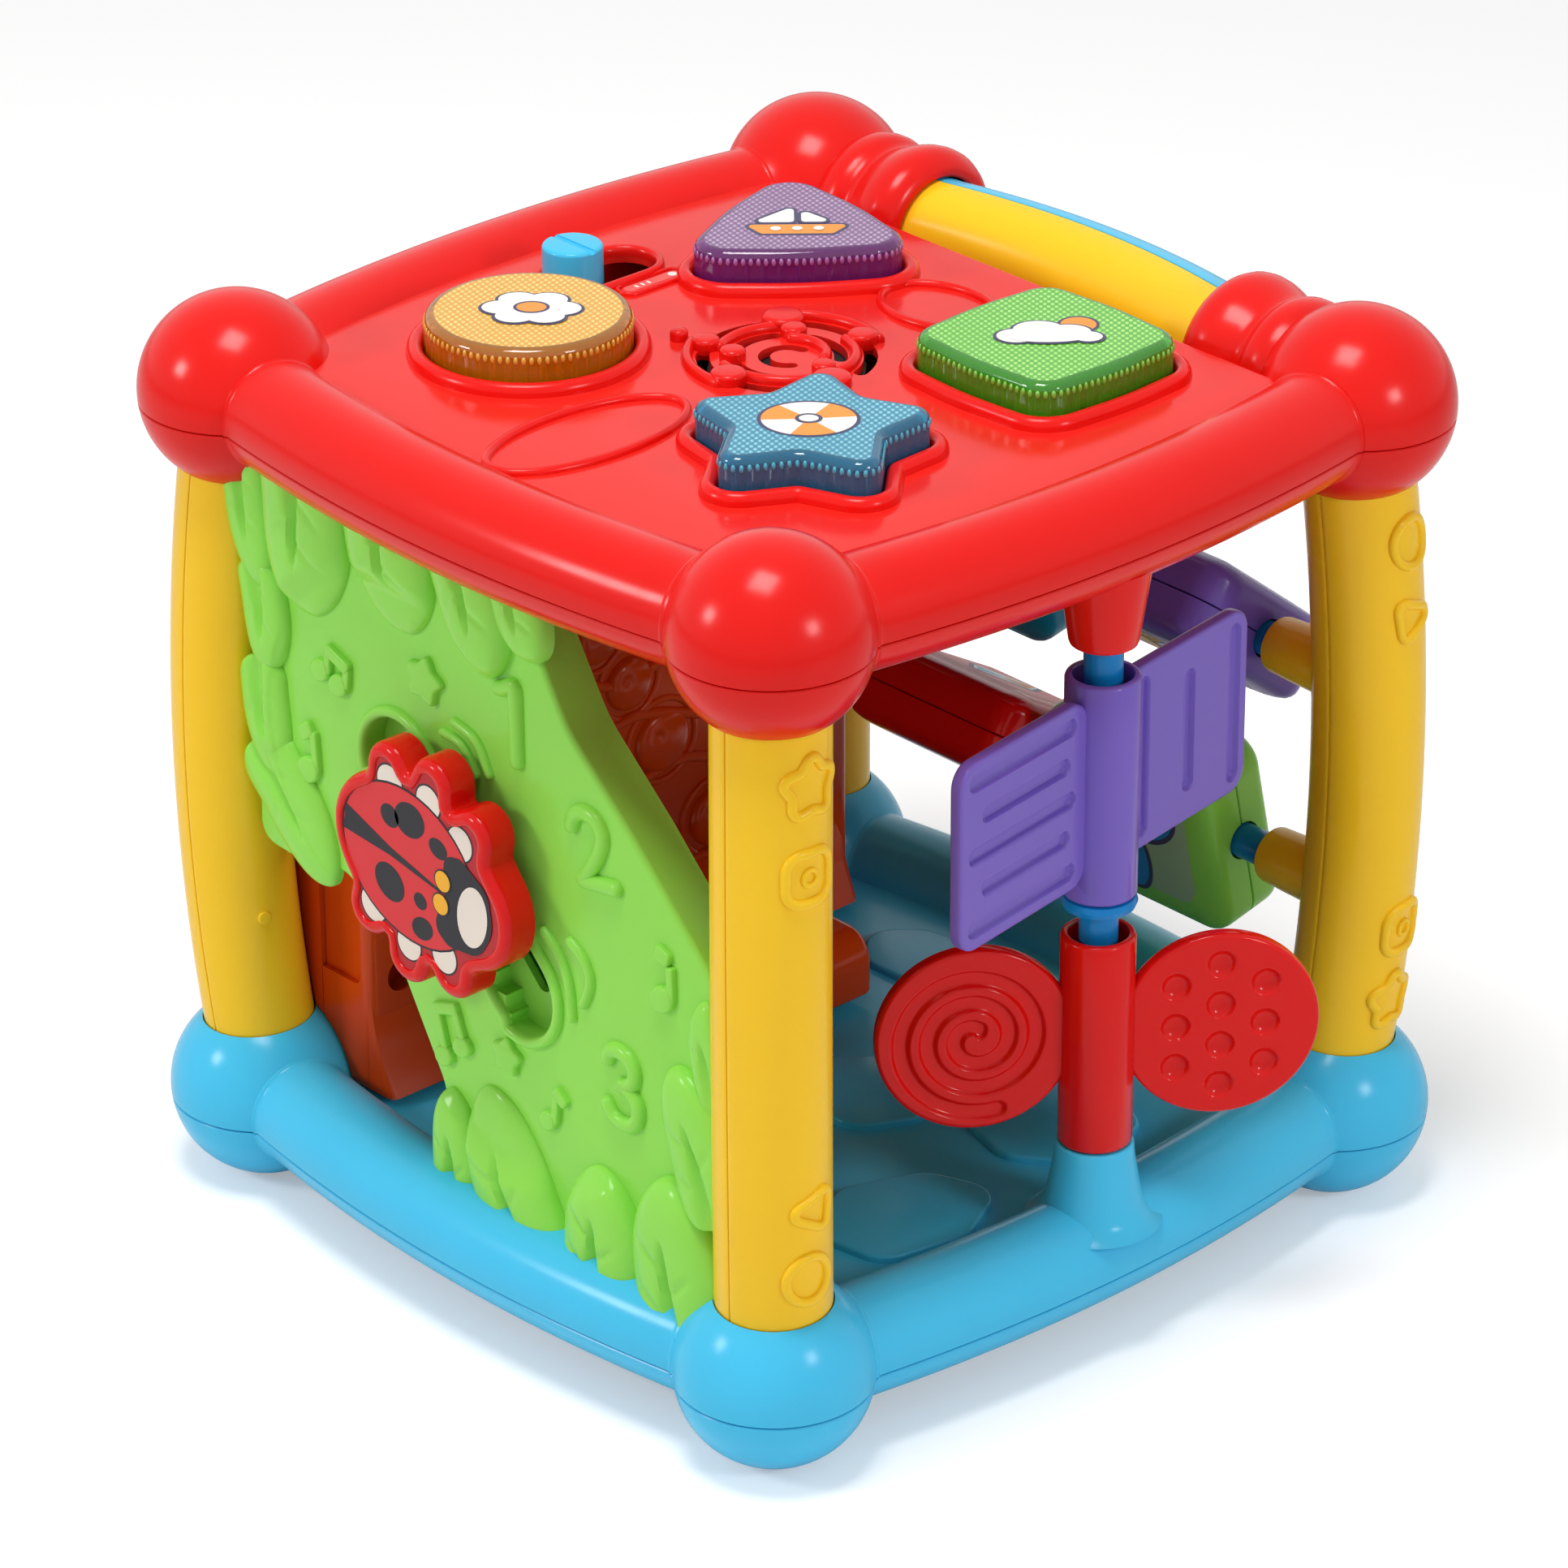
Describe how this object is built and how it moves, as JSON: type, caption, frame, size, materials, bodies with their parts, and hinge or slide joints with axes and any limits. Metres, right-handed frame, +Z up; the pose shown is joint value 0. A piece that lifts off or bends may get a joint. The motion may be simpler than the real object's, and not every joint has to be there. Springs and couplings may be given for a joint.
{
  "type": "activity cube",
  "caption": "Open-sided activity cube with corner balls and bowed rails, light-up press buttons, spinners, flip blocks, a sliding ladybird and a carry handle.",
  "frame": {"origin": "on the floor under the middle of the overall box, at rest", "axes": "+Z up; +X towards the side with the upright rod and spinners; +Y towards the handle and the flip blocks; the slider panel faces -Y and the orange housing -X"},
  "size_m": [0.2612, 0.2456, 0.2416],
  "materials": {
    "base_blue": "satin moulded plastic",
    "top_red": "glossy moulded plastic",
    "leg_yellow": "satin moulded plastic",
    "grip_yellow": "satin moulded plastic",
    "grip_blue": "satin moulded plastic",
    "lens_amber": "clear tinted plastic with moulded ribs",
    "lens_purple": "clear tinted plastic with moulded ribs",
    "lens_green": "clear tinted plastic with moulded ribs",
    "lens_teal": "clear tinted plastic with moulded ribs",
    "dome_rubber": "translucent white silicone",
    "knob_blue": "glossy moulded plastic",
    "board_green": "glass fibre board with solder resist",
    "speaker_black": "painted frame and paper cone",
    "battery_metal": "plain wrapped steel can",
    "rod_blue": "glossy moulded plastic",
    "spinner_purple": "satin moulded plastic",
    "spinner_red": "glossy moulded plastic",
    "block_teal": "glossy moulded plastic",
    "block_purple": "glossy moulded plastic",
    "block_red": "glossy moulded plastic",
    "block_green": "glossy moulded plastic",
    "panel_green": "satin moulded plastic",
    "carriage_white": "plain acetal",
    "ladybird_red": "satin moulded plastic",
    "housing_orange": "satin moulded plastic"
  },
  "bodies": {
    "frame": {"base_upper_shell": "base_blue", "base_lower_shell": "base_blue", "top_upper_shell": "top_red", "top_lower_shell": "top_red", "battery_door": "top_red", "handle_inner_half": "grip_yellow", "handle_outer_half": "grip_blue", "circuit_board": "board_green", "speaker": "speaker_black", "battery_left": "battery_metal", "battery_right": "battery_metal", "spinner_rod": "rod_blue", "upper_flip_rod": "rod_blue", "lower_flip_rod": "rod_blue", "green_panel_front": "panel_green", "green_panel_back": "panel_green", "orange_housing_outer": "housing_orange", "orange_housing_inner": "housing_orange", "leg_back_right_outer": "leg_yellow", "leg_back_right_inner": "leg_yellow", "leg_front_right_outer": "leg_yellow", "leg_front_right_inner": "leg_yellow", "leg_front_left_outer": "leg_yellow", "leg_front_left_inner": "leg_yellow", "leg_back_left_outer": "leg_yellow", "leg_back_left_inner": "leg_yellow", "round_button_dome": "dome_rubber", "triangle_button_dome": "dome_rubber", "square_button_dome": "dome_rubber", "star_button_dome": "dome_rubber"},
    "volume_knob": {"volume_knob": "knob_blue"},
    "flag_spinner": {"flag_spinner": "spinner_purple"},
    "disc_spinner": {"disc_spinner": "spinner_red"},
    "slider_carriage": {"slider_carriage": "carriage_white"},
    "ladybird": {"ladybird_knob": "ladybird_red"},
    "round_button": {"round_button_lens": "lens_amber"},
    "triangle_button": {"triangle_button_lens": "lens_purple"},
    "square_button": {"square_button_lens": "lens_green"},
    "star_button": {"star_button_lens": "lens_teal"},
    "teal_block": {"teal_block_outer_half": "block_teal", "teal_block_inner_half": "block_teal"},
    "purple_block": {"purple_block_outer_half": "block_purple", "purple_block_inner_half": "block_purple"},
    "red_block": {"red_block_outer_half": "block_red", "red_block_inner_half": "block_red"},
    "green_block": {"green_block_outer_half": "block_green", "green_block_inner_half": "block_green"}
  },
  "joints": [
    {"name": "round_button_press", "type": "slide", "parent": "frame", "child": "round_button", "axis": [0, 0, -1], "range_m": [0, 0.0025], "stiffness_N_per_m": 400, "springref_m": -0.004, "deforming": ["round_button_dome"]},
    {"name": "triangle_button_press", "type": "slide", "parent": "frame", "child": "triangle_button", "axis": [0, 0, -1], "range_m": [0, 0.0025], "stiffness_N_per_m": 400, "springref_m": -0.004, "deforming": ["triangle_button_dome"]},
    {"name": "square_button_press", "type": "slide", "parent": "frame", "child": "square_button", "axis": [0, 0, -1], "range_m": [0, 0.0025], "stiffness_N_per_m": 400, "springref_m": -0.004, "deforming": ["square_button_dome"]},
    {"name": "star_button_press", "type": "slide", "parent": "frame", "child": "star_button", "axis": [0, 0, -1], "range_m": [0, 0.0025], "stiffness_N_per_m": 400, "springref_m": -0.004, "deforming": ["star_button_dome"]},
    {"name": "volume_slide", "type": "slide", "parent": "frame", "child": "volume_knob", "axis": [0, 1, 0], "range_m": [0, 0.0165]},
    {"name": "flag_spin", "type": "hinge", "parent": "frame", "child": "flag_spinner", "pos_m": [0.09736, -0.00185, 0.15], "axis": [0, 0, 1], "continuous": true},
    {"name": "disc_spin", "type": "hinge", "parent": "frame", "child": "disc_spinner", "pos_m": [0.09736, -0.00185, 0.084], "axis": [0, 0, 1], "continuous": true},
    {"name": "teal_flip", "type": "hinge", "parent": "frame", "child": "teal_block", "pos_m": [-0.04314, 0.09615, 0.143], "axis": [1, 0, 0], "continuous": true},
    {"name": "purple_flip", "type": "hinge", "parent": "frame", "child": "purple_block", "pos_m": [0.02836, 0.09615, 0.143], "axis": [1, 0, 0], "continuous": true},
    {"name": "red_flip", "type": "hinge", "parent": "frame", "child": "red_block", "pos_m": [-0.04114, 0.09615, 0.084], "axis": [1, 0, 0], "continuous": true},
    {"name": "green_flip", "type": "hinge", "parent": "frame", "child": "green_block", "pos_m": [0.02236, 0.09615, 0.084], "axis": [1, 0, 0], "continuous": true},
    {"name": "ladybird_slide", "type": "slide", "parent": "frame", "child": "slider_carriage", "axis": [0.7071, 0, -0.7071], "range_m": [-0.0137, 0.0483]},
    {"name": "ladybird_turn", "type": "hinge", "parent": "slider_carriage", "child": "ladybird", "pos_m": [-0.02638, -0.11085, 0.13313], "axis": [0, 1, 0], "range_deg": [-87.3, 307.6]}
  ],
  "couplings": [
    {"joint": "ladybird_turn", "follows": "ladybird_slide", "rad_per_m": 111.11}
  ]
}
